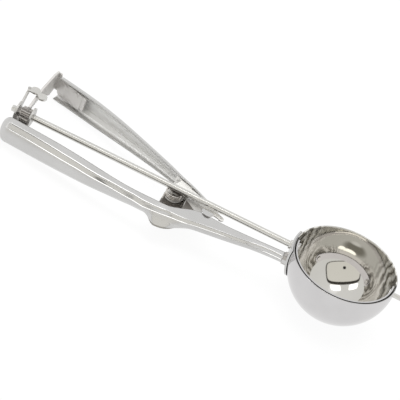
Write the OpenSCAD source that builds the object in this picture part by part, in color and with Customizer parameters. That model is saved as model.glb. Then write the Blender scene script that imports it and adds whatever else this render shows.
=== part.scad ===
// Squeeze-handle ice cream scoop in polished stainless steel.
// The origin is the centre of the round bowl, on the wiper axis. +X runs from the grip
// through the bowl, the bowl opens towards +Z, and the lever lies on the +Y side.

/* [Bowl] */
// Outer diameter of the bowl
bowl_d = 58.6; // [52:0.2:66]
// Wall of the bowl
bowl_wall = 0.9; // [0.7:0.05:1.3]
// Height of the rim above the wiper axis
rim_rise = 4.6; // [4:0.1:7]
// Thickness of the saddle that carries the bowl
saddle_t = 1; // [0.7:0.1:1.4]
// Width of the saddle
saddle_w = 18; // [14:0.5:22]

/* [Wiper] */
// Diameter of the wiper rod
rod_d = 3.5; // [3:0.1:4]
// Gap between the blade and the bowl
blade_gap = 0.4; // [0.3:0.05:0.8]
// Thickness of the blade
blade_t = 0.8; // [0.5:0.05:1.2]
// Width of the blade
blade_w = 8.8; // [7:0.2:9]
// Diameter of the far pivot pin
pivot_pin_d = 2.7; // [2:0.1:3.4]
// How far the far pivot pin stands out of the bowl
pivot_pin_out = 4.4; // [3:0.2:7]
// Wall of the bush that carries the rod in the bowl
bush_wall = 0.8; // [0.6:0.05:1.2]
// Radial running clearance of every turning fit
running_gap = 0.05; // [0.02:0.01:0.09]

/* [Rack and pinion] */
// Number of teeth on the pinion
pinion_teeth = 10; // [10:2:14]
// Tooth module
tooth_module = 0.66; // [0.6:0.02:0.76]
// Play at each tooth flank
tooth_play = 0.2; // [0.16:0.01:0.26]
// Length of the toothed part of the pinion
pinion_len = 5.2; // [4.4:0.2:6]
// Distance from the bowl centre to the middle of the pinion
pinion_reach = 186.2; // [185:0.1:188]
// Thickness of the rack strip
rack_t = 1.2; // [0.8:0.1:1.6]
// Thickness of the bracket round the pinion
bracket_t = 1; // [0.8:0.1:1.4]
// Length of the rod that stands out behind the bracket
rod_tail = 2.9; // [2:0.2:5]

/* [Handles] */
// Depth of the handles' middle plane below the wiper axis
handle_drop = 5.4; // [5.4:0.1:6.4]
// Half the height of the grip at its rear
grip_half_h = 7.8; // [7.4:0.1:8.2]
// Depth of the rounded grip at its rear
grip_depth = 7.5; // [6.8:0.1:9]
// Thickness of the handle sheet
sheet_t = 0.9; // [0.7:0.05:1.1]
// Half the height of the handles at the hinge
hinge_half_h = 4.6; // [4.5:0.1:5.4]
// Depth of the handles at the hinge
hinge_depth = 6; // [5.4:0.1:7]
// Half the height of the neck at the bowl
neck_half_h = 3.4; // [3:0.1:4]
// Depth of the neck at the bowl
neck_depth = 3.8; // [3.2:0.1:5]
// Reach of the fixed handle behind the middle of the pinion
grip_past_pinion = 8.3; // [8.2:0.1:9]
// Length of the rack's plate that stands out of the lever's rear end
plate_past_lever = 3.2; // [2.6:0.1:3.8]
// Length of the rack's plate inside the lever
plate_in_lever = 18.4; // [17:0.2:20]
// Length of the lever's nose in front of the hinge
lever_nose_len = 19; // [15:0.5:22]
// Angle between the lever and the wiper rod
lever_angle = 20; // [19:0.25:21]
// How far the finger guard stands out
guard_out = 8.2; // [6:0.2:11]
// Depth of the stiffening groove along each handle edge
groove_depth = 0.4; // [0.2:0.05:0.6]

/* [Hinge] */
// Distance from the bowl centre to the hinge pin
hinge_reach = 97.5; // [95:0.5:100]
// Sideways offset of the hinge pin from the rod
hinge_side = 2.2; // [1.6:0.1:2.8]
// Diameter of the hinge pin
hinge_pin_d = 3; // [2.4:0.1:3.4]
// Thickness of the hinge plates
plate_t = 0.7; // [0.5:0.05:0.8]
// Gap between faces that slide on each other
slide_gap = 0.15; // [0.1:0.01:0.2]
// Wire of the return spring
spring_wire = 0.9; // [0.6:0.05:1]
// Turns of the return spring
spring_turns = 2; // [1:1:2]

/* [Hidden] */
steel = "silver";
dark_steel = "gray";
bright_steel = "gainsboro";
eps = 0.01;

// Bowl and wiper
bowl_r = bowl_d / 2;
bowl_in_r = bowl_r - bowl_wall;
blade_r = bowl_in_r - blade_gap;
blade_in_r = blade_r - blade_t;
ear_r = blade_w / 2;
rod_r = rod_d / 2;
bush_r = rod_r + running_gap + bush_wall;
nut_r = rod_r + 1.3;
nut_t = 1.4;
pivot_r = pivot_pin_d / 2;
pivot_head_r = pivot_r + 1;
pivot_head_t = 0.7;

// The saddle is flatter than the bowl, so its edges stand a little off it
saddle_seat_gap = 0.05;
saddle_flat = 5;
saddle_in_r = bowl_r + saddle_flat;
saddle_out_r = saddle_in_r + saddle_t;
saddle_cx = saddle_flat - saddle_seat_gap;
saddle_top = rim_rise - 0.4;
saddle_bottom = -17.4;
saddle_back_x = saddle_cx - saddle_out_r;
foot_x = saddle_back_x - 0.6;

// Rack and pinion
pitch_r = tooth_module * pinion_teeth / 2;
tooth_pitch = PI * tooth_module;
tooth_top = 0.85 * tooth_module;
tooth_root = 1.2 * tooth_module;
flank = tan(20);
pinion_out_r = pitch_r + tooth_top;
pinion_root_r = pitch_r - tooth_root;
pinion_x = -pinion_reach;
pinion_front = pinion_x + pinion_len / 2;
pinion_rear = pinion_x - pinion_len / 2;
hub_len = 1.3;
hub_r = rod_r + 1;
washer_t = 0.25;
washer_r = rod_r + 1.6;
ear_side_gap = 0.1;
front_ear_x = pinion_front + washer_t + 2 * ear_side_gap;
rear_ear_x = pinion_rear - hub_len - washer_t - 2 * ear_side_gap;
bracket_rear = rear_ear_x - bracket_t;
bracket_front = front_ear_x + bracket_t;
rod_rear = bracket_rear - rod_tail;
ear_round_r = 5.2;

// Handles: u runs back from the hinge along each handle
mid_z = -handle_drop;
hinge_x = -hinge_reach;
hinge_y = hinge_side;
neck_len = foot_x - hinge_x;
grip_full_u = 75;
rack_x = pinion_x + 0.6;
rack_r = norm([hinge_x - rack_x, hinge_y]);
rack_step = tooth_pitch / rack_r * 180 / PI;
rack_start = asin(hinge_y / rack_r);
rack_gaps = pinion_teeth / 2 + 1;
rack_plate_v = 8.4;
rack_plate_t = 1;
rack_plate_end = (hinge_x - rack_x + rack_plate_v * sin(lever_angle)) / cos(lever_angle) - rack_t / 3;
fixed_grip_len = pinion_reach - hinge_reach + grip_past_pinion;
lever_grip_len = rack_plate_end - plate_past_lever;

// Hinge plates, from the rod down
fixed_top_z = -rod_r - 0.35;
lever_top_z = fixed_top_z - plate_t - slide_gap;
spring_top_z = lever_top_z - plate_t - slide_gap;
fixed_low_z = mid_z - hinge_half_h + sheet_t + 0.35;
lever_low_z = fixed_low_z + plate_t + slide_gap;
spring_low_z = lever_low_z + plate_t + slide_gap;
hinge_pin_r = hinge_pin_d / 2;
top_boss_r = hinge_pin_r + 1.7;
low_boss_r = 5.2;
lever_boss_r = 5;
spring_r = hinge_pin_r + 2.45 + spring_wire;
spring_open = 150;

function smooth(t) = let (c = min(1, max(0, t))) c * c * (3 - 2 * c);
function mix(a, b, t) = a + (b - a) * t;

// Smooth curve through hand-chosen [place, value] points, in rising order of place
function slope(p, i) = i == 0 ? (p[1][1] - p[0][1]) / (p[1][0] - p[0][0])
    : i == len(p) - 1 ? (p[i][1] - p[i - 1][1]) / (p[i][0] - p[i - 1][0])
    : (p[i + 1][1] - p[i - 1][1]) / (p[i + 1][0] - p[i - 1][0]);
function segment(p, x, i = 0) = i >= len(p) - 2 || x < p[i + 1][0] ? i : segment(p, x, i + 1);
function curve(p, x) = let (i = segment(p, x), w = p[i + 1][0] - p[i][0],
    t = (x - p[i][0]) / w, t2 = t * t, t3 = t2 * t)
    (2 * t3 - 3 * t2 + 1) * p[i][1] + (t3 - 2 * t2 + t) * w * slope(p, i)
    + (3 * t2 - 2 * t3) * p[i + 1][1] + (t3 - t2) * w * slope(p, i + 1);

// Line the wall of the fixed handle follows: share of its length behind or before the hinge, and Y
fixed_line = [[-1, -4.9], [-0.66, -5.4], [-0.32, -8.9], [0.05, -14.4], [0.26, -15.4],
    [0.62, -12.7], [1, -10]];
// Open edge of the fixed handle in the same terms; its flanges widen in front of the hinge
fixed_edge = [[-1, -4.9], [-0.62, -7], [-0.48, -7.6], [-0.27, -7.4], [-0.188, -9.2],
    [-0.12, -11.8], [-0.036, -14.4], [0.05, -15.1], [0.26, -15.6], [0.62, -12.7], [1, -10]];
function fixed_share(u) = u < 0 ? u / neck_len : u / fixed_grip_len;
function fixed_y(u) = curve(fixed_edge, fixed_share(u));
function fixed_h(u) = u > 0 ? mix(hinge_half_h, grip_half_h, smooth(u / grip_full_u))
    : mix(hinge_half_h, neck_half_h, smooth(-u / neck_len));
neck_swell_len = 62;
function fixed_d(u) = fixed_y(u) - curve(fixed_line, fixed_share(u))
    + (u > 0 ? mix(hinge_depth, grip_depth, smooth(u / grip_full_u))
        - 1.0 * smooth((u - 10) / 8) * smooth((46 - u) / 20)
    : mix(hinge_depth, neck_depth, smooth((-u - 30) / 35))
        + 1.6 * smooth(-u / 14) * smooth((neck_swell_len + u) / 24));

// Open edge of the lever, in its own frame with V away from the rod
lever_edge_v = 10.1;
lever_bow_u = 0.268 * lever_grip_len;
lever_nose_bow = 1.94;
lever_bow = 4.65;
function lever_v(u) = lever_edge_v - (u > lever_bow_u
    ? lever_bow * pow((u - lever_bow_u) / (lever_grip_len - lever_bow_u), 2)
    : lever_nose_bow * pow((lever_bow_u - u) / (lever_bow_u + lever_nose_len), 2));
function lever_waist(u) = 1 - smooth(u > 0 ? u / 18 : -u / lever_nose_len);
function lever_h(u) = (u > 0 ? mix(hinge_half_h - 0.6, grip_half_h, smooth(u / grip_full_u))
    : mix(hinge_half_h - 0.6, 2.6, smooth(-u / lever_nose_len))) - 0.2 * lever_waist(u);
function lever_d(u) = (u > 0 ? mix(hinge_depth - 1.6, grip_depth - 0.3, smooth(u / grip_full_u))
    : mix(hinge_depth - 1.6, 2.8, smooth(-u / lever_nose_len))) - 0.9 * lever_waist(u);

// Finger guard: share of guard_out along u, steep at the rear and easy at the front
function guard(u) = smooth((9.1 - u) / 9.3) * smooth((u + 17.9) / 16);
function guard_share(a) = smooth((sin(a) - 0.6) / 0.32);

// Half-round section, with a shallow groove near each edge; a is measured from the top edge
section_angles = [0, 18, 22, 39, 43, 47.5, 51, 57, 73, 90, 107, 123, 129, 132.5, 137, 141, 158, 162, 180];
function groove(a) = (a > 20 && a < 41) || (a > 139 && a < 160) ? groove_depth : 0;
function section_point(a, h, d, bump, inset) =
    let (g = groove(a) + inset)
    [(g - d) * sin(a) - bump * guard_share(a), (h - g) * cos(a)];

// A channel of half-round section through stations
// [x, y, half height, depth, bump, share of full size, inner wall's step back from the tip],
// with an open flat end first and a rounded closed end at the tip
module channel(stations, tip, side) {
    n = len(stations);
    m = len(section_angles);
    tip_y = stations[n - 1][1];
    points = concat(
        [for (s = stations, ring = [0, 1], k = [0:m - 1])
            let (j = ring == 0 ? k : m - 1 - k,
                p = s[5] * section_point(section_angles[j], s[2], s[3], s[4], ring * sheet_t))
            [s[0] + ring * s[6], s[1] + side * p[0], mid_z + p[1]]],
        [[tip[0], tip[1], mid_z], [tip[0] + tip[2] * sheet_t, tip[1], mid_z]]);
    r = 2 * m;
    walls = [for (i = [0:n - 2], k = [0:r - 1], half = [0, 1])
        let (a = i * r + k, b = i * r + (k + 1) % r, c = a + r, e = b + r)
        half == 0 ? [a, b, e] : [a, e, c]];
    start_cap = [for (k = [0:m - 2], half = [0, 1])
        let (a = k, b = k + 1, c = r - 1 - k, e = r - 2 - k)
        half == 0 ? [a, e, b] : [a, c, e]];
    last = (n - 1) * r;
    outer_tip = n * r;
    inner_tip = outer_tip + 1;
    tip_outer = [for (k = [0:m - 2]) [last + k, last + k + 1, outer_tip]];
    tip_inner = [for (k = [m:r - 2]) [last + k, last + k + 1, inner_tip]];
    tip_edges = [[last + m - 1, last + m, inner_tip], [last + m - 1, inner_tip, outer_tip],
        [last + r - 1, last, outer_tip], [last + r - 1, outer_tip, inner_tip]];
    faces = concat(walls, start_cap, tip_outer, tip_inner, tip_edges);
    polyhedron(points, [for (f = faces) side * tip[2] > 0 ? f : [f[0], f[2], f[1]]]);
}

module at_hinge(angle = 0) {
    translate([hinge_x, hinge_y, 0]) rotate([0, 0, angle]) children();
}
module in_lever() {
    at_hinge(-lever_angle) children();
}
module along_x(x, r, len, y = 0, z = 0) {
    translate([x, y, z]) rotate([0, 90, 0]) cylinder(r = r, h = len, $fn = 64);
}

// Bowl: a round shell cut off a little above its centre
module bowl() {
    color(steel) difference() {
        sphere(r = bowl_r, $fn = 96);
        sphere(r = bowl_in_r, $fn = 96);
        translate([0, 0, rim_rise]) cylinder(r = bowl_d, h = bowl_d, $fn = 32);
        along_x(-bowl_r - 1, bush_r, bowl_wall + 3);
        along_x(bowl_in_r - 1, pivot_r + running_gap, bowl_wall + 3);
    }
}

// Saddle: a dished strip that hugs the back of the bowl, with the foot of the neck
module bowl_saddle() {
    color(steel) difference() {
        union() {
            intersection() {
                difference() {
                    translate([saddle_cx, 0, 0]) sphere(r = saddle_out_r, $fn = 96);
                    translate([saddle_cx, 0, 0]) sphere(r = saddle_in_r, $fn = 96);
                }
                saddle_outline();
            }
            intersection() {
                translate([foot_x, 0, 0]) rotate([90, 0, 90])
                    linear_extrude(6) neck_section(0.35);
                translate([foot_x, -bowl_r, mid_z - bowl_r])
                    cube([saddle_flat + 3, bowl_r, bowl_d]);
                difference() {
                    translate([foot_x, -bowl_r, mid_z - bowl_r]) cube([6, bowl_d, bowl_d]);
                    translate([saddle_cx, 0, 0]) sphere(r = saddle_in_r, $fn = 96);
                }
            }
        }
        along_x(saddle_back_x - 4, bush_r, 10);
    }
}
module saddle_outline() {
    half = saddle_w / 2;
    round_r = half - 0.5;
    translate([saddle_back_x - 1, 0, 0]) rotate([90, 0, 90]) linear_extrude(14) {
        translate([-half, saddle_bottom + round_r])
            square([saddle_w, saddle_top - saddle_bottom - round_r]);
        intersection() {
            translate([0, saddle_bottom + half]) circle(r = half, $fn = 64);
            translate([-half, saddle_bottom]) square([saddle_w, half]);
        }
    }
}
// Outline of the neck at the saddle, in YZ, grown by a margin
module neck_section(grow) {
    y0 = fixed_y(-neck_len);
    polygon([for (a = section_angles)
        let (p = section_point(a, neck_half_h + grow, neck_depth + grow, 0, 0))
        [y0 + p[0], mid_z + p[1]]]);
}

module rod_bush() {
    color(bright_steel) difference() {
        along_x(saddle_back_x - 0.8, bush_r, -bowl_in_r + 0.1 - saddle_back_x + 0.8);
        along_x(saddle_back_x - 2, rod_r + running_gap, 6);
    }
}

// Fixed handle: grip, finger guard and neck pressed from one sheet
fixed_dome_len = 4.8;
guard_front = -21;
guard_rear = 12;
module fixed_handle() {
    neck = [for (i = [0:9]) fixed_station(mix(-neck_len, guard_front, i / 10), 0)];
    middle = [for (i = [0:19]) fixed_station(mix(guard_front, guard_rear, i / 20), 0)];
    grip = [for (i = [0:11])
        fixed_station(mix(guard_rear, fixed_grip_len - fixed_dome_len, i / 11), 0)];
    dome = [for (a = [22.5:22.5:67.5])
        fixed_station(fixed_grip_len - fixed_dome_len * (1 - sin(a)), a)];
    color(steel) channel(concat(neck, middle, grip, dome),
        [hinge_x - fixed_grip_len, fixed_y(fixed_grip_len), 1], 1);
}
function fixed_station(u, a) = [hinge_x - u, fixed_y(u), fixed_h(u), fixed_d(u),
    guard_out * guard(u), cos(a), sheet_t * sin(a)];

// Lever handle: the same half-round section, open towards the rod
module lever_handle() {
    straight = [for (i = [0:28])
        let (u = mix(lever_grip_len, 5 - lever_nose_len, i / 28)) lever_station(u, 0)];
    dome = [for (a = [22.5:22.5:67.5])
        lever_station(-lever_nose_len + 5 * (1 - sin(a)), a)];
    color(steel) in_lever() channel(concat(straight, dome),
        [lever_nose_len, lever_v(-lever_nose_len), -1], -1);
}
function lever_station(u, a) = [-u, lever_v(u), lever_h(u), lever_d(u), 0, cos(a),
    -sheet_t * sin(a)];

// Bracket that carries the pinion, riveted inside the rear of the fixed handle
flange_half_h = 3.2;
flange_rear = bracket_rear + 1.8;
bracket_y = fixed_y(pinion_reach - hinge_reach) - 5.5;
module pinion_bracket() {
    base_z = mid_z;
    color(bright_steel) difference() {
        union() {
            translate([0, 0, base_z]) linear_extrude(bracket_t)
                polygon([[bracket_rear, ear_round_r], [bracket_front, ear_round_r],
                    [bracket_front, bracket_y], [flange_rear, bracket_y],
                    [bracket_rear, bracket_y + 3]]);
            translate([flange_rear, bracket_y, mid_z - flange_half_h])
                cube([bracket_front - flange_rear, bracket_t, 2 * flange_half_h]);
            bracket_ear(front_ear_x) {
                circle(r = ear_round_r, $fn = 64);
                translate([-ear_round_r, mid_z + bracket_t / 2])
                    square([2 * ear_round_r, -mid_z - bracket_t / 2]);
            }
            bracket_ear(bracket_rear) {
                circle(r = ear_round_r, $fn = 64);
                translate([-ear_round_r, mid_z + bracket_t / 2])
                    square([2 * ear_round_r, -mid_z - bracket_t / 2]);
                polygon([[0, ear_round_r], [3.2, 4.1], [guide_y - 2.4, guide_z],
                    [guide_y + 1.9, guide_z], [guide_y + 1.9, guide_z - 1], [ear_round_r, 0.6],
                    [4, -2]]);
            }
        }
        along_x(bracket_rear - 1, rod_r + running_gap, bracket_front - bracket_rear + 2);
        for (x = bracket_rivet_x) translate([x, bracket_y - 1, bracket_rivet_z])
            rotate([-90, 0, 0]) cylinder(r = rivet_r, h = 3, $fn = 32);
    }
}
module bracket_ear(x) {
    translate([x, 0, 0]) rotate([90, 0, 90]) linear_extrude(bracket_t) children();
}
rivet_r = 1.1;
rivet_head_r = 1.5;
bracket_rivet_z = mid_z - rivet_head_r - 0.1;
rivet_head_t = 0.5;
bracket_rivet_x = [mix(flange_rear, bracket_front, 0.25), mix(flange_rear, bracket_front, 0.75)];
module bracket_rivets() {
    wall_y = fixed_y(pinion_reach - hinge_reach) - grip_depth + sheet_t + 0.7;
    color(dark_steel) for (x = bracket_rivet_x) translate([x, 0, bracket_rivet_z]) {
        translate([0, wall_y, 0]) rotate([-90, 0, 0])
            cylinder(r = rivet_r, h = bracket_y + bracket_t - wall_y, $fn = 32);
        translate([0, bracket_y + bracket_t, 0]) rotate([-90, 0, 0])
            cylinder(r = rivet_head_r, h = rivet_head_t, $fn = 32);
    }
}

// Guide that bridges the rack, with two round lobes
guide_y = 10;
guide_z = 7.9;
guide_t = 1.3;
guide_lobe_r = 2.6;
guide_lobes = [[pinion_x - 1.4, guide_y + 0.8], [pinion_x + 3.7, guide_y - 1.8]];
guide_foot = [bracket_rear + bracket_t / 2, guide_y - 0.2];
module rack_guide() {
    a = guide_lobes[0];
    b = guide_lobes[1];
    color(bright_steel) translate([0, 0, guide_z]) difference() {
        union() {
            for (p = guide_lobes) translate([p[0], p[1], 0])
                cylinder(r = guide_lobe_r, h = guide_t, $fn = 48);
            linear_extrude(guide_t) polygon([a + [0, 1.5], b + [0, 1.5], b - [0, 1.5], a - [0, 1.5]]);
            translate([guide_foot[0] - bracket_t / 2, guide_foot[1] - 1.4, 0])
                cube([a[0] - guide_foot[0] + bracket_t / 2, 2.8, guide_t]);
        }
        translate([guide_foot[0], guide_foot[1], -1]) cylinder(r = 0.4, h = 4, $fn = 32);
    }
}
module guide_rivet() {
    color(dark_steel) translate([guide_foot[0], guide_foot[1], guide_z]) {
        cylinder(r = 0.4, h = guide_t, $fn = 32);
        translate([0, 0, guide_t]) cylinder(r = 0.9, h = 0.3, $fn = 32);
    }
}

// Hinge bracket: two plates on a web inside the fixed handle, holding the pin
function web_y(u) = fixed_y(u) - 1.4;
module hinge_bracket() {
    rear_u = 4.8;
    front_u = -13.5;
    rear = [hinge_x - rear_u, web_y(rear_u)];
    front = [hinge_x - front_u, web_y(front_u)];
    web = [rear, front, front + [0, plate_t], rear + [0, plate_t]];
    color(steel) difference() {
        union() {
            translate([0, 0, fixed_low_z])
                linear_extrude(fixed_top_z - fixed_low_z) polygon(web);
            translate([0, 0, fixed_low_z]) linear_extrude(plate_t) {
                translate([hinge_x, hinge_y]) circle(r = low_boss_r, $fn = 64);
                polygon([rear, front, [hinge_x - front_u, web_y(front_u) + 3],
                    [hinge_x + low_boss_r, hinge_y], [hinge_x - low_boss_r + 0.1, hinge_y]]);
            }
            translate([0, 0, fixed_top_z - plate_t]) linear_extrude(plate_t) {
                translate([hinge_x, hinge_y]) circle(r = top_boss_r, $fn = 64);
                polygon([[hinge_x + 3.6, web_y(-3.6) + 0.1], front,
                    [hinge_x - front_u, web_y(front_u) + 3],
                    [hinge_x + 5, hinge_y - 2.6], [hinge_x, hinge_y + top_boss_r - 0.2],
                    [hinge_x - 1.5, hinge_y - 2.6], [hinge_x + 2.8, hinge_y - 3.5]]);
            }
        }
        translate([hinge_x, hinge_y, fixed_low_z - 1])
            cylinder(r = hinge_pin_r, h = 10, $fn = 48);
    }
}
module hinge_pin() {
    head_t = 0.5;
    color(bright_steel) translate([hinge_x, hinge_y, 0]) {
        translate([0, 0, fixed_low_z]) cylinder(r = hinge_pin_r, h = fixed_top_z - fixed_low_z, $fn = 48);
        translate([0, 0, fixed_low_z - head_t]) cylinder(r = hinge_pin_r + 0.9, h = head_t, $fn = 48);
    }
}

// Return spring: a coil round the pin, one leg along the fixed handle and one at the lever
spring_steps = 30;
spring_sides = 8;
module return_spring() {
    coil_r = spring_r - spring_wire / 2;
    wire_r = spring_wire / 2;
    low = spring_low_z + wire_r;
    rise = spring_top_z - wire_r - low;
    turn = 360 * spring_turns + spring_open;
    long_leg = [for (t = [-7, -6]) [-coil_r, t, low]];
    coil = [for (i = [0:spring_steps * spring_turns])
        let (t = i / (spring_steps * spring_turns), a = 180 + t * turn)
        [coil_r * cos(a), coil_r * sin(a), low + t * rise]];
    out = 180 + turn + 90;
    end = coil[len(coil) - 1];
    short_leg = [end + [cos(out), sin(out), 0] * 2, end + [cos(out), sin(out), 0] * 4.4];
    color(dark_steel) at_hinge()
        wire(concat(long_leg, coil, short_leg), wire_r, spring_sides);
}
// Round wire along a path that stays close to level
module wire(path, r, sides) {
    n = len(path);
    points = [for (i = [0:n - 1], k = [0:sides - 1])
        let (t = path[min(n - 1, i + 1)] - path[max(0, i - 1)], along = t / norm(t),
            side = cross(along, [0, 0, 1]) / norm(cross(along, [0, 0, 1])),
            up = cross(side, along), a = 360 * k / sides)
        path[i] + r * (cos(a) * side + sin(a) * up)];
    walls = [for (i = [0:n - 2], k = [0:sides - 1], half = [0, 1])
        let (a = i * sides + k, b = i * sides + (k + 1) % sides, c = a + sides, e = b + sides)
        half == 0 ? [a, e, b] : [a, c, e]];
    polyhedron(points, concat(walls, [[for (k = [0:sides - 1]) k]],
        [[for (k = [0:sides - 1]) n * sides - 1 - k]]));
}

// Lever bracket: two plates on a web inside the lever, with the long nose plate on top
hook_hole_r = 0.6;
module lever_bracket() {
    web_v = 9.1;
    rear_u = 7;
    front_u = -4;
    color(steel) in_lever() difference() {
        union() {
            translate([-rear_u, web_v, lever_low_z])
                cube([rear_u - front_u, plate_t, lever_top_z - lever_low_z]);
            translate([0, 0, lever_low_z]) linear_extrude(plate_t) {
                circle(r = lever_boss_r, $fn = 64);
                translate([-lever_boss_r, 0]) square([2 * lever_boss_r, web_v]);
            }
            translate([0, 0, lever_top_z - plate_t]) linear_extrude(plate_t) {
                circle(r = top_boss_r, $fn = 64);
                translate([-top_boss_r, 0]) square([2 * top_boss_r, web_v]);
                polygon([[0, 3], [20, 2.4], [28, 4], [28, 6.6], [20, 8], [0, web_v]]);
                translate([20.8, 4.3]) circle(r = 3.9, $fn = 48);
                translate([28.4, 5]) circle(r = 1.6, $fn = 32);
            }
        }
        translate([0, 0, lever_low_z - 1]) cylinder(r = hinge_pin_r + running_gap, h = 10, $fn = 48);
        translate([28.4, 5, lever_low_z]) cylinder(r = hook_hole_r, h = 10, $fn = 32);
        for (x = lever_rivet_x) translate([x, web_v - 1, mid_z])
            rotate([-90, 0, 0]) cylinder(r = 0.8, h = 3, $fn = 32);
    }
}
lever_rivet_x = [-4.5, 2.5];
module lever_rivets() {
    web_v = 9.1;
    color(dark_steel) in_lever() for (x = lever_rivet_x) translate([x, 0, mid_z]) {
        translate([0, web_v, 0]) rotate([-90, 0, 0])
            cylinder(r = 0.8, h = lever_v(-x) + lever_d(-x) - sheet_t - web_v - 0.15, $fn = 32);
        translate([0, web_v - 0.4, 0]) rotate([-90, 0, 0]) cylinder(r = 1.3, h = 0.4, $fn = 32);
    }
}

// Rack: a plate inside the rear of the lever and an arm whose lower edge is toothed
rack_plate_len = plate_in_lever + plate_past_lever;
rack_plate_top = mid_z + 4.9;
rack_plate_low = mid_z - 3.5;
rack_rivet_u = [lever_grip_len - 3.2, lever_grip_len - 11.2];
rack_rivet_z = mid_z + 2.5;
rack_ear_w = 2.2;
rack_ear_top = rack_plate_top + 2.9;
teeth_y = tooth_pitch * (rack_gaps + 1.25);
teeth_z = pitch_r - tooth_top;
plate_y = hinge_y + rack_plate_end * sin(lever_angle) + (rack_plate_v + rack_plate_t) * cos(lever_angle);
function arm_y(t) = mix(teeth_y, plate_y, t);
module rack() {
    color(bright_steel) difference() {
        union() {
            in_lever() difference() {
                union() {
                    translate([-rack_plate_end, rack_plate_v, rack_plate_low])
                        cube([rack_plate_len, rack_plate_t, rack_plate_top - rack_plate_low]);
                    translate([-rack_plate_end, rack_plate_v, rack_plate_top - 1])
                        cube([rack_ear_w, rack_plate_t, rack_ear_top - rack_plate_top + 1 - rack_ear_w / 2]);
                    translate([rack_ear_w / 2 - rack_plate_end, rack_plate_v, rack_ear_top - rack_ear_w / 2])
                        rotate([-90, 0, 0]) cylinder(r = rack_ear_w / 2, h = rack_plate_t, $fn = 48);
                }
                for (u = rack_rivet_u) translate([-u, rack_plate_v - 1, rack_rivet_z])
                    rotate([-90, 0, 0]) cylinder(r = rivet_r, h = 3, $fn = 32);
            }
            translate([rack_x - rack_t / 2, 0, 0]) rotate([90, 0, 90]) linear_extrude(rack_t)
                polygon([[-tooth_pitch / 2, teeth_z], [teeth_y, teeth_z],
                    [arm_y(0.24), mix(teeth_z, rack_plate_low, 0.24)],
                    [arm_y(0.5), mix(teeth_z, rack_plate_low, 0.7)],
                    [arm_y(0.71), rack_plate_low], [plate_y, rack_plate_low],
                    [plate_y, rack_ear_top], [arm_y(0.88), rack_ear_top + 1.2],
                    [arm_y(0.72), rack_ear_top + 2.6], [arm_y(0.32), teeth_z + 3.9],
                    [arm_y(0.12), teeth_z + 4.7], [teeth_y * 0.6, teeth_z + 4.5],
                    [-tooth_pitch / 2, teeth_z + 3.3]]);
        }
        for (k = [0:rack_gaps]) at_hinge(rack_start - k * rack_step)
            translate([-rack_r - 3, 0, 0]) rotate([90, 0, 90]) linear_extrude(6) rack_gap();
    }
}
module rack_gap() {
    half = tooth_pitch / 4 + tooth_play / 2;
    low = pitch_r - tooth_top - 1;
    high = pitch_r + tooth_root;
    polygon([[-half - (pitch_r - low) * flank, low], [half + (pitch_r - low) * flank, low],
        [half - (high - pitch_r) * flank, high], [-half + (high - pitch_r) * flank, high]]);
}
module rack_rivets() {
    color(dark_steel) in_lever() for (u = rack_rivet_u) translate([-u, rack_plate_v, rack_rivet_z]) {
        rotate([-90, 0, 0]) cylinder(r = rivet_r,
            h = lever_v(u) + lever_d(u) - sheet_t - rack_plate_v - 1.0, $fn = 32);
        translate([0, -0.4, 0]) rotate([-90, 0, 0]) cylinder(r = 1.7, h = 0.4, $fn = 32);
    }
}

// Wiper: rod, pinion, blade and pivots turn together
module wiper_rod() {
    tail_round = 0.6;
    color(bright_steel) {
        along_x(rod_rear + tail_round, rod_r, -blade_in_r + nut_t + 0.5 - rod_rear - tail_round);
        translate([rod_rear + tail_round, 0, 0]) rotate([0, -90, 0])
            cylinder(r1 = rod_r, r2 = rod_r - tail_round, h = tail_round, $fn = 64);
    }
}
module pinion() {
    color(dark_steel) difference() {
        union() {
            along_x(pinion_rear, pinion_root_r, pinion_len);
            along_x(pinion_rear - hub_len, hub_r, hub_len + eps);
            translate([pinion_rear, 0, 0]) rotate([90, 0, 90]) linear_extrude(pinion_len)
                for (k = [0:pinion_teeth - 1]) rotate(k * 360 / pinion_teeth) pinion_tooth();
        }
        along_x(pinion_rear - hub_len - 1, rod_r, pinion_len + hub_len + 2);
        translate([pinion_rear - hub_len / 2, 0, -hub_r - 1])
            cylinder(r = pinion_pin_r, h = 2 * hub_r + 2, $fn = 32);
    }
}
module pinion_tooth() {
    half = tooth_pitch / 4 - tooth_play / 2;
    tip = half - tooth_top * flank;
    low = pinion_root_r - 0.15;
    foot = half + (pitch_r - low) * flank * 0.5;
    polygon([[-foot, low], [foot, low], [half, pitch_r], [tip, pinion_out_r],
        [-tip, pinion_out_r], [-half, pitch_r]]);
}
pinion_pin_r = 0.5;
module pinion_pin() {
    color(bright_steel) translate([pinion_rear - hub_len / 2, 0, 0]) difference() {
        translate([0, 0, -hub_r - 0.3]) cylinder(r = pinion_pin_r, h = 2 * hub_r + 0.6, $fn = 32);
        along_x(-2, rod_r, 4);
    }
}
module thrust_washers() {
    color(bright_steel) for (x = [pinion_front + ear_side_gap, pinion_rear - hub_len - ear_side_gap - washer_t])
        difference() {
            along_x(x, washer_r, washer_t);
            along_x(x - 1, rod_r + running_gap, washer_t + 2);
        }
}
module blade() {
    color(steel) difference() {
        intersection() {
            difference() {
                sphere(r = blade_r, $fn = 96);
                sphere(r = blade_in_r, $fn = 96);
            }
            union() {
                translate([-bowl_r, -bowl_r, -ear_r]) cube([bowl_d, bowl_r, blade_w]);
                along_x(-bowl_r, ear_r, bowl_d);
            }
        }
        along_x(-bowl_r, rod_r, bowl_r);
        along_x(0, pivot_r, bowl_r);
    }
}
module pivot_pin() {
    color(bright_steel) {
        along_x(blade_in_r, pivot_r, bowl_r + pivot_pin_out - blade_in_r);
        along_x(blade_in_r - pivot_head_t - 0.3, pivot_head_r, pivot_head_t);
        along_x(blade_in_r - 0.4, pivot_r, 0.5);
    }
}
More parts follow.
